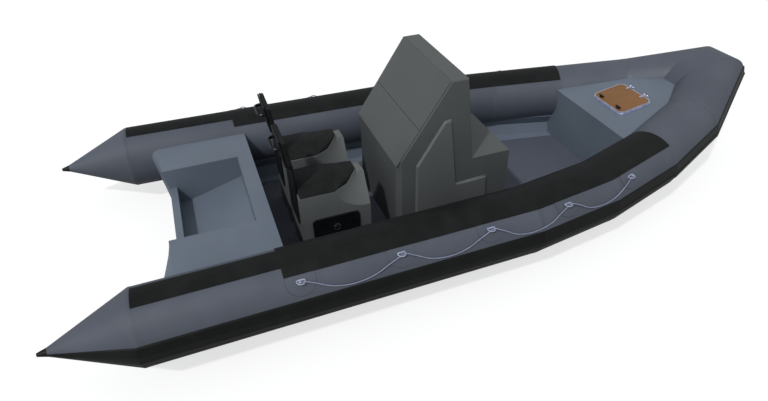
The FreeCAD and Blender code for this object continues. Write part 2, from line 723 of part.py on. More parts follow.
dash_half = size("console_half_width") - size("dash_margin")
slanted_plate("dash_lower", size("console_aft"), size("dash_low_z"), size("dash_seam_x"), size("dash_seam_z"),
              size("dash_thickness"), dash_half, 2)
slanted_plate("dash_upper", size("dash_seam_x"), size("dash_seam_z"), size("console_top_aft"),
              size("console_top_z"), size("dash_thickness"), dash_half, 2)

# Outline of the console's raised side panels: x and height above the sole's mat.
SIDE_PANEL = [(-425, 0), (-424, 670), (-199, 1019), (-138, 1023), (-71, 426), (198, 437), (235, 0)]


def bevelled_panel(outline, y, sign, thickness, bevel):
    """A panel on a side face, with its edges bevelled."""
    low = Part.makePolygon([Vector(x, y, z) for x, z in outline + outline[:1]])
    face = Part.Face(low)
    top_face = face.makeOffset2D(-bevel)
    top = top_face.OuterWire.copy()
    top.translate(Vector(0, sign * thickness, 0))
    return Part.makeLoft([face.OuterWire, top], True, True)


for side, sign in SIDES:
    outline = [(x, z + mat_top) for x, z in SIDE_PANEL]
    panel = bevelled_panel(outline, sign * size("console_half_width"), sign,
                           size("panel_thickness"), size("panel_bevel"))
    feature("console_panel_" + side, panel)

# Seats

POD_SIDE = [("Sizes.pod_aft", "Sizes.sole_z + Sizes.mat_thickness"),
            ("Sizes.pod_aft", "Sizes.pod_top"),
            ("Sizes.knee_x", "Sizes.pod_top"),
            ("Sizes.pommel_x", "Sizes.pommel_z"),
            ("Sizes.pod_fwd - 24", "Sizes.pommel_z"),
            ("Sizes.pod_fwd - 7", "Sizes.pommel_z - 8"),
            ("Sizes.pod_fwd", "Sizes.pommel_z - 26"),
            ("Sizes.pod_fwd", "Sizes.sole_z + Sizes.mat_thickness")]


def scallop_cone(name, centre, out_sign, extra):
    """A shallow cone that hollows the pod's side for the knee."""
    cone = doc.addObject("Part::Cone", name)
    bind(cone, Radius1="0", Radius2="Sizes.scallop_radius * (1 + 40 / Sizes.scallop_depth) + %s" % extra,
         Height="Sizes.scallop_depth + 40", Placement__Base__x="Sizes.scallop_x",
         Placement__Base__z="Sizes.scallop_z",
         Placement__Base__y="(%s) + %d * (Sizes.pod_width / 2 - Sizes.scallop_depth)" % (centre, out_sign))
    cone.Placement = FreeCAD.Placement(cone.Placement.Base,
                                       FreeCAD.Rotation(UP, Vector(0, out_sign, 0)))
    bind(cone, Placement__Base__x="Sizes.scallop_x", Placement__Base__z="Sizes.scallop_z",
         Placement__Base__y="(%s) + %d * (Sizes.pod_width / 2 - Sizes.scallop_depth)" % (centre, out_sign))
    return cone


def with_scallops(name, base, centre):
    for out_sign in (1, -1):
        tag = "out" if out_sign > 0 else "in"
        cone = scallop_cone("%s_scallop_%s" % (name, tag), centre, out_sign, 0)
        base = joined("Cut", "%s_cut_%s" % (name, tag), base, cone)
    return base


def solid_of(name, shape):
    """A shape made in code, as an object that the booleans can use."""
    thing = doc.addObject("Part::Feature", name)
    thing.Shape = shape
    return thing


def pommel_corners(centre):
    """What is cut away to round the pommel's top across the boat."""
    top, reach, crown = size("pommel_z"), size("pod_width") / 2 + 5, size("pommel_crown")
    aft, fwd = size("pommel_x"), size("pod_fwd") + 5
    block = Part.makeBox(fwd - aft, 2 * reach, size("pommel_shoulder") + 20,
                         Vector(aft, centre - reach, top - size("pommel_shoulder")))
    barrel = Part.makeCylinder(crown, fwd - aft + 20, Vector(aft - 10, centre, top - crown), Vector(1, 0, 0))
    return block.cut(barrel)


def crowned_cushion(centre):
    """A cushion crowned across the boat, through sections that rise with the pod."""
    half, lift = size("pod_width") / 2 - 2, size("cushion_gap")
    seat, top = size("pod_top"), size("pommel_z")
    edge, crown = size("cushion_edge"), size("cushion_crown")
    # x, underside, height of the sides and of the crown.
    stations = [(size("pod_aft") + 2, seat, edge, crown), (size("knee_x") - 130, seat, edge, crown),
                (size("knee_x") - 1, seat, edge, crown + 8), (size("pommel_x") - 1, top, edge / 2, edge)]
    wires = []
    for x, under, side_height, height in stations:
        low = Vector(x, centre - half, under + lift)
        high = Vector(x, centre + half, under + lift)
        rise, middle = Vector(0, 0, side_height), Vector(x, centre, under + lift + side_height + height)
        arc = Part.Arc(low + rise, middle, high + rise).toShape()
        wires.append(Part.Wire([Part.makeLine(low, low + rise), arc, Part.makeLine(high + rise, high),
                                Part.makeLine(high, low)]))
    return Part.makeLoft(wires, True, True)


def round_bar(points, radius, bend):
    """A round bar along straight runs joined by tangent arcs."""
    edges = []
    last = points[0]
    for i in range(1, len(points) - 1):
        a = (points[i - 1] - points[i]).normalize()
        b = (points[i + 1] - points[i]).normalize()
        turn = math.pi - a.getAngle(b)
        setback = bend * math.tan(turn / 2)
        first, second = points[i] + a * setback, points[i] + b * setback
        towards = (a + b).normalize()
        middle = points[i] + towards * (bend / math.cos(turn / 2) - bend)
        edges.append(Part.makeLine(last, first))
        edges.append(Part.Arc(first, middle, second).toShape())
        last = second
    edges.append(Part.makeLine(last, points[-1]))
    path = Part.Wire(edges)
    start = (points[1] - points[0]).normalize()
    profile = Part.Wire(Part.makeCircle(radius, points[0], start))
    return path.makePipeShell([profile], True, True)


def rounded_plate(x0, x1, z0, z1, y0, y1, corner):
    """A plate with rounded corners, standing parallel to the boat's side."""
    plate = Part.makeBox(x1 - x0, abs(y1 - y0), z1 - z0, Vector(x0, min(y0, y1), z0))
    return rounded(plate, corner, lambda a, b: abs(a.x - b.x) < 0.1 and abs(a.z - b.z) < 0.1)


gap = size("cushion_gap")
for side, sign in SIDES:
    centre = sign * size("seat_spacing") / 2
    centre_word = "%d * Sizes.seat_spacing / 2" % sign
    low = "%s - Sizes.pod_width / 2" % centre_word
    high = "%s + Sizes.pod_width / 2" % centre_word
    pod = with_scallops("pod_" + side, side_profile("pod_block_" + side, POD_SIDE, low, high), centre_word)
    pod = joined("Cut", "pod_crown_" + side, pod, solid_of("pod_crown_tool_" + side, pommel_corners(centre)))
    # The locker behind the side hatch opens outboard.
    face = "(%s) + %d * Sizes.pod_width / 2" % (centre_word, sign)
    back = "(%s) - %d * Sizes.pod_locker_depth" % (face, sign)
    over = "(%s) + %d" % (face, sign)
    y_pair = (back, over) if sign > 0 else (over, back)
    locker = box("pod_locker_" + side, "Sizes.door_aft + Sizes.door_rim", "Sizes.door_fwd - Sizes.door_rim",
                 y_pair[0], y_pair[1], "Sizes.door_low + Sizes.door_rim", "Sizes.door_high - Sizes.door_rim")
    keep(joined("Cut", "pod_open_" + side, pod, locker), "seat_pod_" + side)

    # The crowned cushion lies on the pod and rises to the pommel.
    cushion = solid_of("cushion_block_" + side, crowned_cushion(centre))
    keep(with_scallops("cushion_" + side, cushion, centre_word), "seat_cushion_" + side)

doc.recompute()

pod_half = size("pod_width") / 2
for side, sign in SIDES:
    centre = sign * size("seat_spacing") / 2
    face_y = centre + sign * pod_half

    # Side hatch: frame, then door with its knob.
    x0, x1 = size("door_aft"), size("door_fwd")
    z0, z1 = size("door_low"), size("door_high")
    rim, corner = size("door_rim"), size("door_corner")
    depth = sign * size("frame_thickness")
    running = size("door_gap")
    frame = rounded_plate(x0, x1, z0, z1, face_y, face_y + depth, corner)
    frame = frame.cut(rounded_plate(x0 + rim, x1 - rim, z0 + rim, z1 - rim,
                                    face_y - depth, face_y + 2 * depth, corner - rim))
    door_y = face_y + depth + sign * gap
    door = rounded_plate(x0 + running, x1 - running, z0 + running, z1 - running,
                         door_y, door_y + sign * size("door_thickness"), corner - running)
    knob_x, knob_z = (x0 + x1) / 2, (z0 + z1) / 2
    knob = Part.makeCylinder(30, 12, Vector(knob_x, door_y + sign * (size("door_thickness") - 2), knob_z),
                             Vector(0, sign, 0))
    bar = Part.makeBox(44, 9, 12, Vector(knob_x - 22, min(door_y + sign * 14, door_y + sign * 23), knob_z - 6))
    door = door.fuse([knob, bar])
    # Hinge along the door's lower edge: knuckles of the door between lugs of the frame.
    barrel, pin = size("barrel_radius"), size("pin_radius")
    hinge_y, hinge_z = face_y + depth + sign * (barrel + gap), z0 - 1
    for middle in (x0 + size("barrel_inset"), x1 - size("barrel_inset")):
        knuckle = Part.makeCylinder(barrel, 30, Vector(middle - 15, hinge_y, hinge_z), Vector(1, 0, 0))
        neck = Part.makeBox(30, 5, 12, Vector(middle - 15, min(door_y + sign, door_y + sign * 6), hinge_z))
        bore = Part.makeCylinder(pin + 0.08, 34, Vector(middle - 17, hinge_y, hinge_z), Vector(1, 0, 0))
        door = door.fuse([knuckle, neck]).cut(bore)
        shaft = Part.makeCylinder(pin, 62, Vector(middle - 31, hinge_y, hinge_z), Vector(1, 0, 0))
        lugs = [shaft]
        for start in (middle - 31, middle + 16):
            lugs.append(Part.makeCylinder(barrel, 15, Vector(start, hinge_y, hinge_z), Vector(1, 0, 0)))
            root = min(face_y, hinge_y)
            lugs.append(Part.makeBox(15, abs(hinge_y - face_y), barrel + 1,
                                     Vector(start, root, hinge_z - barrel)))
        frame = frame.fuse(lugs)
    feature("pod_hatch_frame_" + side, frame.removeSplitter())
    feature("pod_door_" + side, door.removeSplitter())

    # Backrest: plate on the pod's aft face, leaning pad and grab hoop.
    half = size("plate_width") / 2
    plate_x = size("pod_aft")
    plate_t = size("plate_thickness")
    lean = size("back_lean")
    back_low, back_high, back_x = size("back_low"), size("back_high"), size("back_x")
    pad_t = size("back_thickness")
    seat = pad_t - gap
    plate_profile = [(plate_x, size("plate_low")), (plate_x, back_low - 6),
                     (back_x - pad_t, back_low + 4), (back_x - pad_t - lean, back_high),
                     (back_x - pad_t - lean - plate_t, back_high),
                     (back_x - pad_t - plate_t, back_low), (plate_x - plate_t, back_low - 40),
                     (plate_x - plate_t, size("plate_low"))]
    plate = profile_prism(plate_profile, centre - half, centre + half)
    feature("backrest_plate_" + side, plate)
    pad_half = size("back_width") / 2
    slope = lean / (back_high - back_low)
    pad_profile = [(back_x, back_low + 10), (back_x - lean, back_high),
                   (back_x - lean - seat, back_high), (back_x - seat, back_low + 10)]
    pad = profile_prism(pad_profile, centre - pad_half, centre + pad_half)
    feature("backrest_pad_" + side, pad)

    hoop_z = size("hoop_z")
    hoop_x = back_x - pad_t - plate_t - lean * (hoop_z - back_low) / (back_high - back_low)
    reach = size("hoop_reach")
    hy = size("hoop_half_width")
    hoop = round_bar([Vector(hoop_x + 6, centre - hy, hoop_z), Vector(hoop_x - reach, centre - hy, hoop_z),
                      Vector(hoop_x - reach, centre + hy, hoop_z), Vector(hoop_x + 6, centre + hy, hoop_z)],
                     size("hoop_radius"), 36)
    feature("grab_hoop_" + side, hoop.cut(plate))

# Bow hatch, square to the sloping deck

HATCH = size("hatch_x")
deck_point = Vector(HATCH, 0, bow_deck_height(HATCH))
DECK_TURN = FreeCAD.Rotation(Vector(0, 1, 0), -math.degrees(math.atan(bow_slope)))


def on_deck(shape):
    """Move a shape drawn round the origin on the XY plane onto the bow deck."""
    shape.Placement = FreeCAD.Placement(deck_point, DECK_TURN)
    return shape


def rounded_slab(length, width, height, corner, z):
    slab = Part.makeBox(length, width, height, Vector(-length / 2, -width / 2, z))
    return rounded(slab, corner, lambda a, b: abs(a.x - b.x) < 0.1 and abs(a.y - b.y) < 0.1)


length, width = size("hatch_length"), size("hatch_width")
corner, flange = size("hatch_corner"), size("hatch_flange")
height, rim = size("hatch_height"), size("lid_rim")
lid_z = height + gap
frame = rounded_slab(length, width, height, corner, 0)
frame = frame.cut(rounded_slab(length - 2 * flange, width - 2 * flange, 3 * height, corner - flange, -height))
spacing = size("hinge_spacing")
lid_t = size("lid_thickness")
hinge_pin, hinge_barrel, arm_length = size("hinge_pin"), size("hinge_barrel"), size("hinge_arm")
pin_x, pin_z = length / 2 + size("hinge_offset"), lid_z + lid_t / 2
fixed = []
for y in (-spacing / 2, spacing / 2):
    fixed.append(Part.makeBox(pin_x + 14 - length / 2 + 8, 60, height - 4, Vector(length / 2 - 8, y - 30, 0)))
    fixed.append(Part.makeCylinder(hinge_pin, 52, Vector(pin_x, y - 26, pin_z), Vector(0, 1, 0)))
    for step in (-26, 12):
        fixed.append(Part.makeBox(20, 14, pin_z + 8, Vector(pin_x - 10, y + step, 0)))
frame = frame.fuse(fixed)
feature("hatch_frame", on_deck(frame.removeSplitter()))

lid = rounded_slab(length - 12, width - 12, lid_t, corner - 6, lid_z)
opening = rounded_slab(length - 12 - 2 * rim, width - 12 - 2 * rim, 60, corner - 6 - rim, lid_z - 20)
ring = lid.cut(opening)
for y in (-spacing / 2, spacing / 2):
    arm = Part.makeBox(arm_length, 22, 8, Vector(pin_x - arm_length, y - 11, lid_z + lid_t))
    knuckle = Part.makeCylinder(hinge_barrel, 22, Vector(pin_x, y - 11, pin_z), Vector(0, 1, 0))
    neck = Part.makeBox(hinge_barrel, 22, 14, Vector(pin_x - hinge_barrel, y - 11, pin_z))
    bore = Part.makeCylinder(hinge_pin + 0.08, 30, Vector(pin_x, y - 15, pin_z), Vector(0, 1, 0))
    ring = ring.fuse([arm, knuckle, neck]).cut(bore)
lens = rounded_slab(length - 12 - 2 * rim, width - 12 - 2 * rim, lid_t - 1, corner - 6 - rim, lid_z + 1)
feature("hatch_lid", on_deck(ring.removeSplitter()))
feature("hatch_lens", on_deck(lens))
handles = []
for y in (width / 2 - size("handle_inset"), size("handle_inset") - width / 2):
    x, z = 46 - length / 2, lid_z + lid_t
    base = Part.makeCylinder(16, 9, Vector(x, y, z))
    grip = Part.makeBox(14, 62, 9, Vector(x - 7, y - 31, z + 8))
    handles.append(base.fuse(grip))
feature("hatch_handles", on_deck(Part.makeCompound(handles)))

# Lifeline rings and their patches


def tube_place(x):
    """Centre, direction, outboard and upward vectors of the port tube at station x."""
    for start, end, direction, outboard, upward in [frame[:5] for frame in FRAMES]:
        if start.x <= x <= end.x:
            share = (x - start.x) / (end.x - start.x)
            return start + (end - start) * share, direction, outboard, upward


def ring_frame(x):
    """A ring's place on the tube's skin, and its directions along, down and out of the skin."""
    centre, direction, outboard, upward = tube_place(x)
    angle = math.radians(size("ring_angle"))
    normal = (outboard * math.cos(angle) + upward * math.sin(angle)).normalize()
    downward = (outboard * math.sin(angle) - upward * math.cos(angle)).normalize()
    return centre + normal * RADIUS, direction, downward, normal


RING_DROP = 36


def ring_shape(x):
    """A D-shaped wire that hangs down and out from its bed on the patch."""
    place, direction, downward, normal = ring_frame(x)
    half = size("ring_width") / 2 - size("ring_wire")
    wire = size("ring_wire")
    foot = place + normal * (size("patch_thickness") + wire)
    out = (normal * 0.6 + downward * 0.8).normalize() * RING_DROP
    left, right = foot - direction * half, foot + direction * half
    bow = round_bar([left, left + out, right + out, right], wire, half * 0.9)
    bar = Part.makeCylinder(wire, 2 * half, left, direction)
    bed = Part.makeBox(2 * half - 10, 12, wire + 1)
    bed.Placement = FreeCAD.Placement(left + direction * 5 - downward * 6 - normal * (wire + 0.5),
                                      FreeCAD.Rotation(direction, downward, normal, "XYZ"))
    return bed.fuse([bow, bar]).removeSplitter()


stations = [size("ring_station_%d" % n) for n in range(1, len(RING_STATIONS) + 1)]
reach = math.degrees(size("patch_radius") / RADIUS) + 3
skin = mitred_bar(RUNS, sector(RADIUS, RADIUS + size("patch_thickness"),
                               size("ring_angle") - reach, size("strip_outer")))
patches, rings = [], []
for x in stations:
    place, direction, downward, normal = ring_frame(x)
    centre = place - normal * RADIUS
    bed_plate = ring_shape(x)
    patch = Part.makeCylinder(size("patch_radius"), 2 * RADIUS, centre, normal).common(skin)
    patches.append(patch.cut(bed_plate))
    rings.append(bed_plate)

# Lifeline: it is threaded through each ring, and hangs between them on the tube's side.

ROPE = size("rope_radius")
rope_lift = size("patch_thickness") + ROPE + 2
SWAG_DROP = 25.0
# Where the rope goes at a ring: along the tube, down and out of the skin.
BEFORE_RING = [(-95, 52, rope_lift), (-30, 31, rope_lift)]
IN_RING = (0, 15, 20)
AFTER_RING = [(29, 17, 38), (62, 34, 27), (105, 50, rope_lift)]
KNOT_RADIUS = 9


def at_ring(x, along, down, out):
    place, direction, downward, normal = ring_frame(x)
    return place + direction * along + downward * down + normal * out


def on_side(x, degrees):
    """A point of the rope on the tube's side, at station x."""
    centre, _, outboard, upward = tube_place(x)
    return polar(centre, outboard, upward, RADIUS + rope_lift, degrees)


route = []
for number, x in enumerate(stations):
    if number:
        before = stations[number - 1]
        for share in (0.27, 0.42, 0.58, 0.73):
            drop = SWAG_DROP * (1 - (2 * share - 1) ** 2)
            route.append(on_side(before + (x - before) * share, size("ring_angle") - drop))
        route += [at_ring(x, *offset) for offset in BEFORE_RING]
    route.append(at_ring(x, *IN_RING))
    if x != stations[-1]:
        route += [at_ring(x, *offset) for offset in AFTER_RING]


def cord_solid(points, radius):
    """A cord along straight runs joined by arcs, each as wide as its runs allow."""
    edges, last = [], points[0]
    for i in range(1, len(points) - 1):
        a, b = points[i - 1] - points[i], points[i + 1] - points[i]
        setback = 0.45 * min(a.Length, b.Length)
        a, b = a.normalize(), b.normalize()
        half_turn = (math.pi - a.getAngle(b)) / 2
        first_end, second_end = points[i] + a * setback, points[i] + b * setback
        bend = setback / math.tan(half_turn)
        middle = points[i] + (a + b).normalize() * (bend / math.cos(half_turn) - bend)
        edges += [Part.makeLine(last, first_end), Part.Arc(first_end, middle, second_end).toShape()]
        last = second_end
    edges.append(Part.makeLine(last, points[-1]))
    profile = Part.Wire(Part.makeCircle(radius, points[0], points[1] - points[0]))
    return Part.Wire(edges).makePipeShell([profile], True, False)


lifeline = cord_solid(route, ROPE)
print("lifeline route", [(round(p.x, 1), round(p.y, 1), round(p.z, 1)) for p in route])
print("lifeline length", round(lifeline.Volume / (math.pi * ROPE ** 2), 1))
for end, inner in ((route[0], route[1]), (route[-1], route[-2])):
    knot_place = end + (end - inner).normalize() * (KNOT_RADIUS + 0.3)
    rings.append(Part.makeSphere(KNOT_RADIUS, knot_place))
feature("lifeline_patches", Part.makeCompound(patches + [other_side(p) for p in patches]))
feature("lifeline_rings", Part.makeCompound(rings + [other_side(r) for r in rings]))
feature("lifeline_port", lifeline)
feature("lifeline_starboard", other_side(lifeline))

# Check and write every sub-part

doc.recompute()
problems = []
for thing in doc.Objects:
    if any(state in ("Invalid", "Error") for state in thing.State):
        problems.append("%s is %s" % (thing.Label, thing.State))
os.makedirs("parts", exist_ok=True)
for node in NODES:
    shape = node.Shape
    if shape.isNull() or not shape.isValid() or not shape.Solids:
        problems.append("%s has no valid shape" % node.Label)
        continue
    shape.exportStep("parts/%s.step" % node.Label)
    print("%-28s %2d solid(s) %9.1f cm3" % (node.Label, len(shape.Solids), shape.Volume / 1000))
if problems:
    raise RuntimeError("; ".join(problems))
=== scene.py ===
# %% [markdown]
# # A rigid inflatable boat
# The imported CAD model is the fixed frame: every tube, moulding and panel is already in its
# place, in metres. This lesson gives those parts their finishes, and adds the pieces that a
# solid can't show well, such as padded seats, a rope and the seams of the tubes.

# %% Load the frame
import math

import bmesh
import bpy
from mathutils import Matrix, Vector


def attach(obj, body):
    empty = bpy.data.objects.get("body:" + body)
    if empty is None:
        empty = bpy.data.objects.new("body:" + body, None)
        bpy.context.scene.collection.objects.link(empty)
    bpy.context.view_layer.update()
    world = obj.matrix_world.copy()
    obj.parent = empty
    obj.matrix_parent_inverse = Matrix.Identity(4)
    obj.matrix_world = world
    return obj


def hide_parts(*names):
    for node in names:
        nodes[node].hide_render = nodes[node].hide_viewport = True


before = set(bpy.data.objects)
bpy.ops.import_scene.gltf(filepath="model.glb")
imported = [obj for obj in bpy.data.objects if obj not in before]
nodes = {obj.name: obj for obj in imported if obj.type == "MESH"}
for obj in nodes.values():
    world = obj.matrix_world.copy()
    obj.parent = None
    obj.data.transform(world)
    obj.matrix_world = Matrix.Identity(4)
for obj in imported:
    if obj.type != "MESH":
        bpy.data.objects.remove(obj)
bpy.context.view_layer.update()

# %% [markdown]
# ## The camera
# A camera is placed by its three directions. The picture was taken from above the starboard
# quarter with a wide lens, so the near tube's cone looks long.

# %% Camera
AZIMUTH, LOOK_DOWN, ROLL = (math.radians(a) for a in (19.23, 37.153, -1.604))
CAMERA_PLACE, SENSOR_WIDTH, FOCAL_SHARE = (-1.8717, -3.8552, 3.1638), 36, 579 / 768
forward = Vector((math.cos(LOOK_DOWN) * math.sin(AZIMUTH), math.cos(LOOK_DOWN) * math.cos(AZIMUTH),
                  -math.sin(LOOK_DOWN)))
level = Vector((math.cos(AZIMUTH), -math.sin(AZIMUTH), 0))
above = level.cross(forward)
right = level * math.cos(ROLL) + above * math.sin(ROLL)
up = above * math.cos(ROLL) - level * math.sin(ROLL)

camera_data = bpy.data.cameras.new("photo_camera")
camera_data.sensor_width = SENSOR_WIDTH
camera_data.lens = SENSOR_WIDTH * FOCAL_SHARE
camera = bpy.data.objects.new("photo_camera", camera_data)
turn = Matrix((right, up, -forward)).transposed().to_4x4()
camera.matrix_world = Matrix.Translation(CAMERA_PLACE) @ turn
bpy.context.scene.collection.objects.link(camera)
bpy.context.scene.camera = camera
print("camera at", tuple(round(v, 2) for v in camera.location))

# %% [markdown]
# ## Light
# A white room is bright to the camera, but lights the boat only softly. One lamp above the
# starboard quarter adds the direction, as the shadows of the backrests on the cushions show. Two
# weak and wide lamps lift the shade: one from the same side, and one from the bow. The floor is
# the water's surface, so it passes through the boat at its waterline, and it stays plain.

# %% Room and lamps
bpy.context.scene.view_settings.view_transform = "Standard"
room = bpy.data.worlds.new("white_room")
room.use_nodes = True
room.node_tree.nodes.clear()
tree = room.node_tree
rays = tree.nodes.new("ShaderNodeLightPath")
seen = tree.nodes.new("ShaderNodeMath")
seen.operation = "MAXIMUM"
tree.links.new(rays.outputs["Is Camera Ray"], seen.inputs[0])
tree.links.new(rays.outputs["Is Transmission Ray"], seen.inputs[1])
shown, soft = tree.nodes.new("ShaderNodeBackground"), tree.nodes.new("ShaderNodeBackground")
shown.inputs["Strength"].default_value = 1
soft.inputs["Color"].default_value = (0.94, 0.97, 1, 1)
soft.inputs["Strength"].default_value = 0.5
blend = tree.nodes.new("ShaderNodeMixShader")
tree.links.new(seen.outputs[0], blend.inputs[0])
tree.links.new(soft.outputs[0], blend.inputs[1])
tree.links.new(shown.outputs[0], blend.inputs[2])
tree.links.new(blend.outputs[0], tree.nodes.new("ShaderNodeOutputWorld").inputs["Surface"])
bpy.context.scene.world = room


def add_lamp(name, energy, angle, aim):
    """A sun: its light comes from the point aim, as seen from the boat's middle."""
    lamp = bpy.data.lights.new(name, "SUN")
    lamp.energy, lamp.angle = energy, math.radians(angle)
    holder = bpy.data.objects.new(name, lamp)
    holder.rotation_euler = Vector(aim).to_track_quat("Z", "Y").to_euler()
    bpy.context.scene.collection.objects.link(holder)


add_lamp("quarter_lamp", 1.8, 3, (-0.485, -0.376, 0.79))
add_lamp("side_fill", 0.38, 60, (-0.6, -0.57, 0.55))
add_lamp("bow_fill", 0.15, 60, (0.75, -0.1, 0.65))

# %% [markdown]
# ## Shader maths as plain Python
# A material is a web of small nodes. Written one call at a time it is hard to read, so one
# small class wraps a socket: Python's own signs then add the Math nodes.


# %% Shader maths
class Signal:
    """A value that runs along a material's wire."""

    def __init__(self, finish, socket):
        self.finish, self.socket = finish, socket

    def maths(self, operation, a, b=0.0):
        return self.finish.node("ShaderNodeMath", {"operation": operation}, {0: a, 1: b})

    def __add__(self, other):
        return self.maths("ADD", self, other)

    def __sub__(self, other):
        return self.maths("SUBTRACT", self, other)

    def __rsub__(self, other):
        return self.maths("SUBTRACT", other, self)

    def __mul__(self, other):
        return self.maths("MULTIPLY", self, other)

    __radd__, __rmul__ = __add__, __mul__

    def ramp(self, low, high):
        """0 below low, 1 above high and smooth between."""
        return self.finish.node("ShaderNodeMapRange", {"interpolation_type": "SMOOTHSTEP"},
                                {"Value": self, "From Min": low, "From Max": high})


class Finish:
    """One material, with the sockets of a Principled shader set by their names."""

    def __init__(self, name):
        self.material = bpy.data.materials.new(name)
        self.material.use_nodes = True
        self.tree = self.material.node_tree
        self.tree.nodes.clear()
        self.place = self.node("ShaderNodeTexCoord", {}, {}, "Object")

    def node(self, kind, settings, sockets, output=0):
        """Add a node: its settings first, then its sockets as values or wires."""
        made = self.tree.nodes.new(kind)
        for key, value in settings.items():
            setattr(made, key, value)
        for key, value in sockets.items():
            if isinstance(value, Signal):
                self.tree.links.new(value.socket, made.inputs[key])
            else:
                made.inputs[key].default_value = value
        return Signal(self, made.outputs[output])

    def noise(self, scale, detail=4.0, stretch=(1, 1, 1)):
        where = self.node("ShaderNodeMapping", {}, {"Vector": self.place, "Scale": stretch})
        return self.node("ShaderNodeTexNoise", {}, {"Vector": where, "Scale": scale, "Detail": detail})

    def axis(self, letter):
        return self.node("ShaderNodeSeparateXYZ", {}, {0: self.place}, letter)

    def wave(self, value, length):
        """0 to 1 and back over each length."""
        return value.maths("SINE", value * (2 * math.pi / length)) * 0.5 + 0.5

    def mix(self, mask, one, other):
        """one where the mask is 0, other where it is 1; both are colours or wires."""
        return self.node("ShaderNodeMix", {"data_type": "RGBA"}, {0: mask, 6: one, 7: other}, 2)

    def clouded(self, scale, dark, pale, low=0.3, high=0.7):
        """Two shades in soft clouds."""
        return self.mix(self.noise(scale).ramp(low, high), dark, pale)

    def bump(self, height, distance, strength=1.0):
        return self.node("ShaderNodeBump", {},
                         {"Height": height, "Distance": distance, "Strength": strength})

    def close(self, **sockets):
        names = {key.replace("_", " "): value for key, value in sockets.items()}
        shader = self.node("ShaderNodeBsdfPrincipled", {}, names)
        self.node_out(shader)
        return self.material

    def node_out(self, shader):
        out = self.tree.nodes.new("ShaderNodeOutputMaterial")
        self.tree.links.new(shader.socket, out.inputs["Surface"])


def paint(red, green, blue, lift=1.0):
    """A colour as a screen shows it, 0 to 255, turned into linear light."""
    def linear(c):
        c = c / 255
        return c / 12.92 if c <= 0.04045 else ((c + 0.055) / 1.055) ** 2.4
    return tuple(min(1, linear(c) * lift) for c in (red, green, blue)) + (1,)


# %% [markdown]
# ## Floor
# The floor is matt. It glows white to the camera alone, so that it takes only a faint shadow and
# doesn't light the tubes from below.

# %% Floor
matt = Finish("water_level")
floor_mesh = bpy.data.meshes.new("floor")
shape = bmesh.new()
bmesh.ops.create_grid(shape, x_segments=1, y_segments=1, size=60)
shape.to_mesh(floor_mesh)
shape.free()
floor = bpy.data.objects.new("floor", floor_mesh)
to_camera = matt.node("ShaderNodeLightPath", {}, {}, "Is Camera Ray")
MATT_GREY, CAMERA_GLOW = (0.35, 0.35, 0.35, 1), 0.68
floor.data.materials.append(matt.close(Base_Color=MATT_GREY, Roughness=0.9, Specular_IOR_Level=0.2,
                                       Emission_Color=(1, 1, 1, 1),
                                       Emission_Strength=to_camera * CAMERA_GLOW))
bpy.context.scene.collection.objects.link(floor)

# %% [markdown]
# ## Tube fabric
# The tubes are coated cloth, inflated hard. The coat is matt with a soft sheen; its weave is
# finer than a millimetre, and large patches are a little lighter or darker where it has been
# rubbed and has weathered.

# %% Tube fabric
cloth = Finish("tube_fabric")
patches = cloth.noise(2.2, 5.0).ramp(0.3, 0.72)
cloth_colour = cloth.mix(patches, paint(72, 77, 87), paint(80, 85, 95))
weave = cloth.noise(900.0, 2.0)
TUBE_FABRIC = cloth.close(Base_Color=cloth_colour, Roughness=patches * 0.08 + 0.46, Specular_IOR_Level=0.3,
                          Normal=cloth.bump(weave + cloth.noise(14.0) * 3, 0.0006, 0.5))

# %% [markdown]
# ## Rubber
# Strakes and wear strips are extruded rubber: near black, with fine lengthwise grain and a
# greyer bloom where they are touched. The strakes take a darker copy of it, as painted shade
# on their lower faces.

# %% Rubber
rubber = Finish("black_rubber")
bloom = rubber.noise(9.0, 6.0).ramp(0.35, 0.75)
grain = rubber.noise(60.0, 3.0, (0.08, 1, 1))
RUBBER = rubber.close(Base_Color=rubber.mix(bloom, paint(21, 22, 22), paint(28, 29, 29)),
                      Roughness=bloom * 0.12 + 0.5, Specular_IOR_Level=0.12,
                      Normal=rubber.bump(grain, 0.0008, 0.6))

# Painted shade: a darker copy of the rubber for the strakes, which darkens their lower faces.
strake = Finish("strake_rubber_painted_darker")
scuffs = strake.noise(7.0, 6.0).ramp(0.35, 0.75)
strake_grain = strake.noise(60.0, 3.0, (0.08, 1, 1))
STRAKE_PAINTED_DARKER = strake.close(Base_Color=strake.mix(scuffs, paint(12, 13, 13), paint(18, 19, 19)),
                      Roughness=strake.noise(20.0) * 0.08 + 0.36, Specular_IOR_Level=0.22,
                      Normal=strake.bump(strake_grain, 0.0006, 0.5))

# %% [markdown]
# ## Painted mouldings
# Hull, decks and cockpit sides are glass fibre with a blue-grey gelcoat. It shines softly and
# shows faint print-through of the cloth under it. The liner and sole, and the console's side
# panel, take lighter copies of their gelcoats: painted light that lifts faces lying in shade.

# %% Gelcoat of hull and decks


def gelcoat(name, dark, pale, gloss=0.34):
    coat = Finish(name)
    cloud = coat.noise(1.7, 5.0).ramp(0.3, 0.7)
    print_through = coat.noise(38.0, 2.0)
    return coat.close(Base_Color=coat.mix(cloud, dark, pale), Roughness=cloud * 0.1 + gloss,
                      Specular_IOR_Level=0.4,
                      Normal=coat.bump(print_through, 0.0009, 0.4))


DECK = gelcoat("deck_gelcoat", paint(91, 101, 113), paint(98, 108, 120))
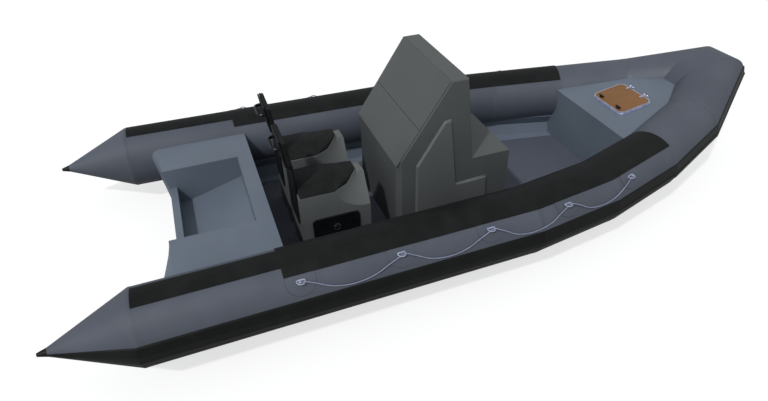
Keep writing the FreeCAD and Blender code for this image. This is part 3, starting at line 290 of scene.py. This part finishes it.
# Painted light: liner and sole take a lighter copy of the deck's gelcoat, to lift their shaded faces.
LINER_PAINTED_LIGHTER = gelcoat("liner_gelcoat_painted_lighter", paint(101, 111, 124), paint(108, 118, 131))
CONSOLE_GREY = gelcoat("console_gelcoat", paint(75, 78, 78), paint(81, 84, 84), 0.42)
PANEL_GREY = gelcoat("panel_gelcoat", paint(75, 78, 78), paint(81, 84, 84), 0.4)
# Painted light: the console's side panel takes a lighter copy of the console's gelcoat, to lift a face in
# shade.
SIDE_GREY_PAINTED_LIGHTER = gelcoat("side_panel_gelcoat_painted_lighter", paint(85, 88, 88), paint(91, 94, 94), 0.42)
POD_GREY = gelcoat("pod_gelcoat", paint(88, 91, 91), paint(95, 98, 98), 0.4)

# %% [markdown]
# ## Non-slip mat
# The mat on the sole is darker, with raised dots in rows, so that a wet boot holds.

# %% Non-slip mat
mat = Finish("non_slip_mat")
dots = mat.wave(mat.axis("X"), 0.024) * mat.wave(mat.axis("Y"), 0.024)
MAT = mat.close(Base_Color=mat.mix(dots.ramp(0.4, 0.7), paint(74, 79, 91), paint(84, 89, 101)),
                Roughness=0.7, Normal=mat.bump(dots.ramp(0.35, 0.75), 0.0015))

# %% [markdown]
# ## Small finishes
# Seats and pads are black vinyl with a fine leather grain, caps and handles black plastic, the
# hatch frame satin metal, and its lens tinted acrylic. The metal's bluish tint is painted
# reflection, and the side hatches' frames are a lighter grey than their doors as a painted highlight.

# %% Vinyl, plastic, metal, lens and rope
vinyl = Finish("black_vinyl")
cells = vinyl.node("ShaderNodeTexVoronoi", {"feature": "DISTANCE_TO_EDGE"},
                   {"Vector": vinyl.place, "Scale": 260.0})
VINYL = vinyl.close(Base_Color=vinyl.clouded(12.0, paint(28, 29, 29), paint(34, 35, 35)),
                    Roughness=vinyl.noise(30.0) * 0.15 + 0.38, Specular_IOR_Level=0.05,
                    Normal=vinyl.bump(cells.ramp(0.0, 0.12), 0.0006, 0.6))

plastic = Finish("black_plastic")
PLASTIC = plastic.close(Base_Color=plastic.clouded(20.0, paint(15, 16, 17), paint(23, 24, 25)),
                        Roughness=0.4, Specular_IOR_Level=0.2,
                        Normal=plastic.bump(plastic.noise(420.0, 1.0), 0.0003, 0.5))

lacquer = Finish("gloss_black")
GLOSS_BLACK = lacquer.close(Base_Color=lacquer.clouded(14.0, paint(13, 14, 15), paint(20, 21, 22)),
                            Roughness=lacquer.noise(25.0) * 0.1 + 0.16, Specular_IOR_Level=0.35)

# Painted highlight: the side hatches' frames are a lighter grey than the gloss black doors, for the
# highlight along their bevels.
frame_painted_highlight = Finish("frame_painted_highlight")
FRAME_PAINTED_HIGHLIGHT = frame_painted_highlight.close(Base_Color=frame_painted_highlight.clouded(14.0, paint(36, 38, 39), paint(46, 48, 49)),
                                Roughness=frame_painted_highlight.noise(25.0) * 0.1 + 0.3, Specular_IOR_Level=0.3)

# Painted reflection: the metal's bluish tint stands in for the blue-white reflections along the hatch
# frame's edges.
metal = Finish("satin_metal_painted_reflection")
METAL_WITH_PAINTED_REFLECTION = metal.close(Base_Color=metal.clouded(30.0, paint(196, 200, 224), paint(224, 227, 246)),
                    Metallic=1.0, Roughness=metal.noise(200.0, 2.0, (0.1, 1, 1)) * 0.15 + 0.3)

lens = Finish("bronze_lens")
LENS = lens.close(Base_Color=lens.clouded(6.0, paint(116, 80, 44), paint(126, 88, 51), 0.2, 0.8),
                  Roughness=lens.noise(12.0) * 0.1 + 0.18, Specular_IOR_Level=0.3)

rope = Finish("lifeline_rope")
ROPE = rope.close(Base_Color=rope.clouded(150.0, paint(112, 118, 142), paint(146, 152, 176)),
                  Roughness=0.7)

clip = Finish("ring_plastic")
RING_PLASTIC = clip.close(Base_Color=clip.clouded(40.0, paint(138, 143, 166), paint(162, 167, 190)),
                          Roughness=clip.noise(90.0) * 0.1 + 0.32)

# %% [markdown]
# ## Finishes for the CAD parts
# Each part of the frame takes its finish by its name.

# %% Finishes by part
BY_NAME = [("tube_", TUBE_FABRIC), ("cone_cap", PLASTIC), ("cone_", TUBE_FABRIC), ("strake_", STRAKE_PAINTED_DARKER),
           ("wear_strip", RUBBER), ("lifeline_patches", TUBE_FABRIC), ("lifeline_rings", RING_PLASTIC),
           ("lifeline", ROPE), ("hull", DECK),
           ("transom", DECK), ("aft_deck", DECK), ("bow_locker", DECK), ("side_liner", LINER_PAINTED_LIGHTER),
           ("sole_mat", MAT), ("sole", LINER_PAINTED_LIGHTER), ("console_panel", SIDE_GREY_PAINTED_LIGHTER), ("console", CONSOLE_GREY),
           ("dash_", PANEL_GREY), ("seat_pod", POD_GREY), ("seat_cushion", VINYL),
           ("backrest_plate", PLASTIC), ("backrest_pad", VINYL), ("grab_hoop", GLOSS_BLACK),
           ("pod_hatch_frame", FRAME_PAINTED_HIGHLIGHT), ("pod_door", GLOSS_BLACK), ("hatch_frame", METAL_WITH_PAINTED_REFLECTION),
           ("hatch_lid", METAL_WITH_PAINTED_REFLECTION), ("hatch_lens", LENS), ("hatch_handles", PLASTIC)]
for name, part in nodes.items():
    finish = next(material for start, material in BY_NAME if name.startswith(start))
    part.data.materials.clear()
    part.data.materials.append(finish)
print("finished", len(nodes), "parts")

# %% [markdown]
# ## Lifelines
# A three-strand rope runs along each tube through five rings and is knotted at both ends. Its
# line is a smooth spline: the points below are its control points, on the port side. Each
# strand could be a helix of its own, but one section with three lobes that turns along the
# line gives the same rope with a single sweep.

# %% The lifelines' line
ROPE_LINE = [
    (-1.521, 1.232, 0.573), (-1.492, 1.245, 0.585), (-1.459, 1.250, 0.565), (-1.416, 1.249, 0.542),
    (-1.335, 1.266, 0.502), (-1.232, 1.273, 0.481), (-1.122, 1.271, 0.480), (-1.019, 1.260, 0.499),
    (-0.929, 1.241, 0.536), (-0.864, 1.224, 0.549), (-0.834, 1.218, 0.567), (-0.804, 1.231, 0.578),
    (-0.772, 1.235, 0.558), (-0.729, 1.235, 0.535), (-0.652, 1.252, 0.495), (-0.550, 1.259, 0.474),
    (-0.442, 1.257, 0.473), (-0.341, 1.246, 0.492), (-0.254, 1.227, 0.529), (-0.189, 1.210, 0.542),
    (-0.159, 1.204, 0.560), (-0.130, 1.217, 0.571), (-0.097, 1.221, 0.551), (-0.054, 1.221, 0.528),
    (0.013, 1.238, 0.488), (0.109, 1.246, 0.468), (0.211, 1.243, 0.467), (0.337, 1.222, 0.485),
    (0.412, 1.193, 0.523), (0.474, 1.168, 0.536), (0.503, 1.158, 0.554), (0.534, 1.168, 0.565),
    (0.568, 1.167, 0.545), (0.610, 1.162, 0.522), (0.680, 1.170, 0.483), (0.777, 1.164, 0.463),
    (0.879, 1.149, 0.462), (0.973, 1.125, 0.481), (1.068, 1.085, 0.522), (1.126, 1.053, 0.539),
    (1.152, 1.040, 0.558),
]
ROPE_DIAMETER, STRAND_PITCH = 0.009, 0.045


def rope_curve(name, points, section=None):
    """A smooth curve through its control points, swept with a section where one is given."""
    curve = bpy.data.curves.new(name, "CURVE")
    curve.dimensions, curve.resolution_u = "3D", 16
    line = curve.splines.new("NURBS")
    line.points.add(len(points) - 1)
    run = 0.0
    for number, (knot, place) in enumerate(zip(line.points, points)):
        if number:
            run += (Vector(place) - Vector(points[number - 1])).length
        knot.co = (*place, 1)
        knot.tilt = run / STRAND_PITCH * 2 * math.pi
    line.order_u = 3
    line.use_endpoint_u = True
    if section:
        curve.bevel_mode, curve.bevel_object, curve.use_fill_caps = "OBJECT", section, True
    return bpy.data.objects.new(name, curve)


def strand_section():
    """Three round strands side by side, drawn as one outline."""
    curve = bpy.data.curves.new("rope_section", "CURVE")
    outline = curve.splines.new("POLY")
    reach, strand, steps = ROPE_DIAMETER / 2 - 0.0021, 0.0021, 15
    outline.points.add(steps - 1)
    for number, knot in enumerate(outline.points):
        turn = number / steps * 2 * math.pi
        off = (turn + math.pi / 3) % (2 * math.pi / 3) - math.pi / 3
        far = reach * math.cos(off) + math.sqrt(max(0, strand ** 2 - (reach * math.sin(off)) ** 2))
        knot.co = (far * math.cos(turn), far * math.sin(turn), 0, 1)
    outline.use_cyclic_u = True
    return bpy.data.objects.new("rope_section", curve)


def as_mesh(source, name):
    """A curve's shape as a mesh object of its own."""
    scene_root.objects.link(source)
    if source.data.bevel_object:
        scene_root.objects.link(source.data.bevel_object)
    bpy.context.view_layer.update()
    shape = bpy.data.meshes.new_from_object(source.evaluated_get(bpy.context.evaluated_depsgraph_get()))
    if source.data.bevel_object:
        scene_root.objects.unlink(source.data.bevel_object)
    scene_root.objects.unlink(source)
    piece = bpy.data.objects.new(name, shape)
    scene_root.objects.link(piece)
    return piece


# %% Lay the lifelines
scene_root = bpy.context.scene.collection
section = strand_section()
for side, sign in (("port", 1), ("starboard", -1)):
    points = [(x, sign * y, z) for x, y, z in ROPE_LINE]
    rope_piece = as_mesh(rope_curve("rope_" + side, points, section), "lifeline_rope_" + side)
    for face in rope_piece.data.polygons:
        face.use_smooth = True
    bare = as_mesh(rope_curve("line_" + side, points), "line_" + side)
    bpy.data.objects.remove(bare)
    rope_piece.data.materials.clear()
    rope_piece.data.materials.append(ROPE)
    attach(rope_piece, "boat")
    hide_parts("lifeline_" + side)

# %% [markdown]
# ## Soft seats
# A seat cushion is foam under tight vinyl: its faces bulge a little and its edges are round.
# The solid is remeshed evenly and inflated with cloth simulation, held where it is glued down,
# and no point may move further than the cap.

# %% Soft seats


def soft_copy(node, name, voxel, inset):
    """An even mesh of a node's shape, a little smaller, ready to be inflated."""
    mesh = nodes[node].data.copy()
    shape = bmesh.new()
    shape.from_mesh(mesh)
    bmesh.ops.remove_doubles(shape, verts=shape.verts, dist=0.0001)
    bmesh.ops.recalc_face_normals(shape, faces=shape.faces)
    shape.to_mesh(mesh)
    shape.free()
    rough = bpy.data.objects.new(name, mesh)
    scene_root.objects.link(rough)
    even = rough.modifiers.new("even", "REMESH")
    even.mode, even.voxel_size, even.use_smooth_shade = "VOXEL", voxel, True
    bpy.context.view_layer.update()
    rough.data = bpy.data.meshes.new_from_object(rough.evaluated_get(bpy.context.evaluated_depsgraph_get()))
    rough.modifiers.clear()
    for point in rough.data.vertices:
        point.co -= point.normal * inset
    return rough


def inflate(piece, down, cap):
    """Blow the piece up as cloth. Points that face along down stay where they are glued."""
    held = piece.vertex_groups.new(name="held")
    down = Vector(down).normalized()
    held.add([v.index for v in piece.data.vertices if v.normal.dot(down) > 0.7], 1.0, "REPLACE")
    cloth = piece.modifiers.new("cloth", "CLOTH")
    cloth.settings.quality = 4
    cloth.settings.use_pressure = True
    cloth.settings.uniform_pressure_force = 4
    cloth.settings.effector_weights.gravity = 0
    cloth.settings.vertex_group_mass = "held"
    cloth.point_cache.frame_end = 20
    for frame_number in range(1, 21):
        bpy.context.scene.frame_set(frame_number)
    blown = bpy.data.meshes.new_from_object(piece.evaluated_get(bpy.context.evaluated_depsgraph_get()))
    furthest = 0
    for point, target in zip(piece.data.vertices, blown.vertices):
        step = target.co - point.co
        step *= min(1, cap / max(step.length, 1e-6))
        furthest = max(furthest, step.length)
        point.co += step
    piece.modifiers.clear()
    bpy.context.scene.frame_set(1)
    print(piece.name, "swells by up to", round(furthest * 1000, 1), "mm")


# Columns: node, the way its glued face looks, voxel, inset and cap in metres, fill.
SOFT = [("seat_cushion", (0, 0, -1), 0.006, 0.004, 0.006, 0.75),
        ("backrest_pad", (-1, 0, 0.12), 0.005, 0.003, 0.004, 0.8)]
for node, down, voxel, inset, cap, fill in SOFT:
    for side in ("port", "starboard"):
        pad = soft_copy(node + "_" + side, "soft_" + node + "_" + side, voxel, inset)
        inflate(pad, down, cap)
        smooth = pad.modifiers.new("smooth", "SUBSURF")
        smooth.levels = smooth.render_levels = 1
        for face in pad.data.polygons:
            face.use_smooth = True
        pad.data.materials.clear()
        pad.data.materials.append(VINYL)
        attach(pad, "boat")
        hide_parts(node + "_" + side)

# %% [markdown]
# ## Seams of the tubes
# A tube is glued up from straight panels, and a tape covers each mitre. The tape follows the
# tube's own skin, so a copy of the tube is cut by two planes beside the mitre, and the slice
# between them gets the tape's thickness.

# %% Tapes over the mitres
TUBE_RADIUS, TAPE_HALF, TAPE_THICKNESS = 0.257, 0.02, 0.0008
TUBE_CORNERS = [Vector(c) for c in ((-2.548, 1.053, 0.392), (0.242, 0.995, 0.364), (0.953, 0.887, 0.359),
                                    (1.631, 0.7, 0.393), (2.273, 0.434, 0.468), (2.898, 0, 0.673))]
RUN_DIRECTIONS = [(b - a).normalized() for a, b in zip(TUBE_CORNERS, TUBE_CORNERS[1:])]


def slice_of(node, name, point, normal, half, material):
    """The part of a node's skin between two planes, as a thin layer on it."""
    shape = bmesh.new()
    shape.from_mesh(nodes[node].data)
    bmesh.ops.remove_doubles(shape, verts=shape.verts, dist=0.0001)
    for way in (1, -1):
        whole = shape.verts[:] + shape.edges[:] + shape.faces[:]
        bmesh.ops.bisect_plane(shape, geom=whole, plane_co=point + normal * half * way,
                               plane_no=normal * way, clear_outer=True)
    flat = [f for f in shape.faces if abs(f.normal.dot(normal)) > 0.95]
    bmesh.ops.delete(shape, geom=flat, context="FACES")
    mesh = bpy.data.meshes.new(name)
    shape.to_mesh(mesh)
    shape.free()
    piece = bpy.data.objects.new(name, mesh)
    scene_root.objects.link(piece)
    for face in mesh.polygons:
        face.use_smooth = True
    mesh.materials.append(material)
    layer = piece.modifiers.new("layer", "SOLIDIFY")
    layer.thickness, layer.offset = TAPE_THICKNESS, 1
    piece.modifiers.new("shading", "WEIGHTED_NORMAL")
    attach(piece, "boat")
    return piece


tape = Finish("seam_tape")
TAPE = tape.close(Base_Color=tape.clouded(5.0, paint(72, 77, 87), paint(80, 85, 95)),
                  Roughness=0.42, Specular_IOR_Level=0.3,
                  Normal=tape.bump(tape.noise(700.0, 2.0), 0.0004, 0.4))
tapes = 0
for side, sign in (("port", 1), ("starboard", -1)):
    mirror = Vector((1, sign, 1))
    planes = [(TUBE_CORNERS[0], RUN_DIRECTIONS[0], "quarter")]
    for number, word in enumerate(("waist", "shoulder", "cheek", "bow"), 1):
        mitre = (RUN_DIRECTIONS[number - 1] + RUN_DIRECTIONS[number]).normalized()
        planes.append((TUBE_CORNERS[number], mitre, word))
    for point, normal, word in planes:
        slice_of("tube_" + side, "tape_%s_%s" % (word, side), point * mirror, normal * mirror,
                 TAPE_HALF, TAPE)
        tapes += 1
print(tapes, "seam tapes")

# %% [markdown]
# ## Rims of the ring patches
# Each lifeline ring sits on a round patch, and a fine bead of glue runs round the patch's rim.
# A circle is bent onto the tube by turning its height into an angle.

# %% Glue beads round the patches
RING_STATIONS, RING_ANGLE, PATCH_RADIUS = (-1.527, -0.84, -0.165, 0.472, 1.108), math.radians(46.8), 0.1
BEAD_RADIUS, BEAD_LIFT, BEAD_GAP = 0.0016, 0.0022, 0.0006


def glue_bead(x, sign, number):
    run = max(i for i, corner in enumerate(TUBE_CORNERS[:-1]) if corner.x <= x)
    start, ahead = TUBE_CORNERS[run], RUN_DIRECTIONS[run]
    centre = start + ahead * ((x - start.x) / ahead.x)
    outboard = Vector((-ahead.y, ahead.x, 0)).normalized()
    upward = ahead.cross(outboard)
    shape = bmesh.new()
    bmesh.ops.create_circle(shape, radius=1, segments=40)
    ring = []
    for knot in sorted(shape.verts, key=lambda v: math.atan2(v.co.y, v.co.x)):
        angle = RING_ANGLE + knot.co.y * PATCH_RADIUS / TUBE_RADIUS
        skin = (outboard * math.cos(angle) + upward * math.sin(angle)) * (TUBE_RADIUS + BEAD_LIFT)
        place = centre + ahead * knot.co.x * (PATCH_RADIUS + BEAD_GAP) + skin
        ring.append((place.x, sign * place.y, place.z, 1))
    shape.free()
    curve = bpy.data.curves.new("bead", "CURVE")
    curve.dimensions, curve.bevel_depth, curve.bevel_resolution = "3D", BEAD_RADIUS, 1
    line = curve.splines.new("POLY")
    line.points.add(len(ring) - 1)
    for knot, place in zip(line.points, ring):
        knot.co = place
    line.use_cyclic_u = True
    side = "port" if sign > 0 else "starboard"
    bead = as_mesh(bpy.data.objects.new("bead", curve), "patch_bead_%s_%d" % (side, number))
    bead.data.materials.clear()
    bead.data.materials.append(GLUE)
    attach(bead, "boat")


glue = Finish("glue_line")
GLUE = glue.close(Base_Color=glue.clouded(60.0, paint(57, 61, 69), paint(71, 76, 85)),
                  Roughness=0.4, Specular_IOR_Level=0.3)
for sign in (1, -1):
    for number, x in enumerate(RING_STATIONS, 1):
        glue_bead(x, sign, number)
print(2 * len(RING_STATIONS), "patch beads")

# %% [markdown]
# ## Domed nuts on the hatch hinges
# Each hinge pin ends in two bright domed nuts; their white is partly a painted glint. A dome is
# spun from half of its outline, and a small helper sets copies of it where they belong.

# %% Spun shapes


def spun(outline, closed=False, steps=24):
    """A mesh spun round Z from an outline of radius and height."""
    shape = bmesh.new()
    knots = [shape.verts.new((r, 0, z)) for r, z in outline]
    pairs = list(zip(knots, knots[1:])) + ([(knots[-1], knots[0])] if closed else [])
    edges = [shape.edges.new(pair) for pair in pairs]
    bmesh.ops.spin(shape, geom=knots + edges, cent=(0, 0, 0), axis=(0, 0, 1), angle=2 * math.pi,
                   steps=steps, use_merge=True)
    bmesh.ops.remove_doubles(shape, verts=shape.verts, dist=0.00001)
    bmesh.ops.recalc_face_normals(shape, faces=shape.faces)
    mesh = bpy.data.meshes.new("spun")
    shape.to_mesh(mesh)
    shape.free()
    return mesh


def gathered(name, mesh, places, material, body):
    """One piece made of copies of a mesh, each at its place."""
    shape = bmesh.new()
    for place in places:
        before = len(shape.verts)
        shape.from_mesh(mesh)
        bmesh.ops.transform(shape, matrix=place, verts=shape.verts[before:])
    joined = bpy.data.meshes.new(name)
    shape.to_mesh(joined)
    shape.free()
    for face in joined.polygons:
        face.use_smooth = True
    joined.materials.append(material)
    piece = bpy.data.objects.new(name, joined)
    scene_root.objects.link(piece)
    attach(piece, body)
    print(name, len(places), "copies,", len(joined.polygons), "faces")
    return piece


# %% Hinge nuts
# Painted glint: the nuts are near white and only half metallic, so that they show white dots under the
# lamp.
polish = Finish("polished_metal_painted_glint")
POLISH_WITH_PAINTED_GLINT = polish.close(Base_Color=polish.clouded(50.0, paint(236, 238, 250), paint(250, 251, 255)),
                      Metallic=0.5, Roughness=polish.noise(80.0) * 0.06 + 0.28)
DECK_SLOPE, DECK_EDGE_X, DECK_EDGE_Z, HATCH_X = 0.167, 1.53, 0.526, 1.862
HATCH_PLACE = (Matrix.Translation((HATCH_X, 0, DECK_EDGE_Z + DECK_SLOPE * (HATCH_X - DECK_EDGE_X)))
               @ Matrix.Rotation(-math.atan(DECK_SLOPE), 4, "Y"))
dome = spun([(0, 0.009), (0.0025, 0.0086), (0.0047, 0.0068), (0.0062, 0.004), (0.0066, 0.0015),
             (0.0066, -0.002), (0, -0.002)])
nut_places = [HATCH_PLACE @ Matrix.Translation((0.189, arm + end, 0.0253))
              for arm in (-0.095, 0.095) for end in (-0.019, 0.019)]
gathered("hinge_nuts", dome, nut_places, POLISH_WITH_PAINTED_GLINT, "boat")

# %% [markdown]
# ## Knobs of the side hatches
# The door's knob has a raised rim and three spokes for a thumb. The rim is a small ring spun
# round the knob's axis, and a spoke is a low bar from the middle to the rim.

# %% Knob rims and spokes
worn = Finish("worn_plastic")
WORN = worn.close(Base_Color=worn.clouded(60.0, paint(48, 50, 51), paint(62, 64, 65)),
                  Roughness=worn.noise(90.0) * 0.1 + 0.4, Specular_IOR_Level=0.3)
KNOB_PLACE, RIM_RADIUS, RIM_BEAD = (-1.0815, 0.4933, 0.3225), 0.0265, 0.0028
eighths = [number * math.pi / 4 for number in range(8)]
rim = spun([(RIM_RADIUS + RIM_BEAD * math.cos(a), RIM_BEAD * math.sin(a)) for a in eighths],
           closed=True, steps=36)
spoke = bpy.data.meshes.new("spoke")
shape = bmesh.new()
bar = Matrix.Translation((0.0125, 0, 0)) @ Matrix.Diagonal((0.027, 0.006, 0.004, 1))
bmesh.ops.create_cube(shape, size=1, matrix=bar)
bmesh.ops.bevel(shape, geom=shape.edges[:], offset=0.0012, segments=2, affect="EDGES")
shape.to_mesh(spoke)
shape.free()
for side, sign in (("port", 1), ("starboard", -1)):
    x, y, z = KNOB_PLACE
    knob = Matrix.Translation((x, sign * y, z)) @ Matrix.Rotation(-sign * math.pi / 2, 4, "X")
    gathered("knob_rim_" + side, rim, [knob], WORN, "pod_door_" + side)
    turns = [knob @ Matrix.Rotation(math.radians(30 + 120 * number), 4, "Z") for number in range(3)]
    gathered("knob_spokes_" + side, spoke, turns, WORN, "pod_door_" + side)
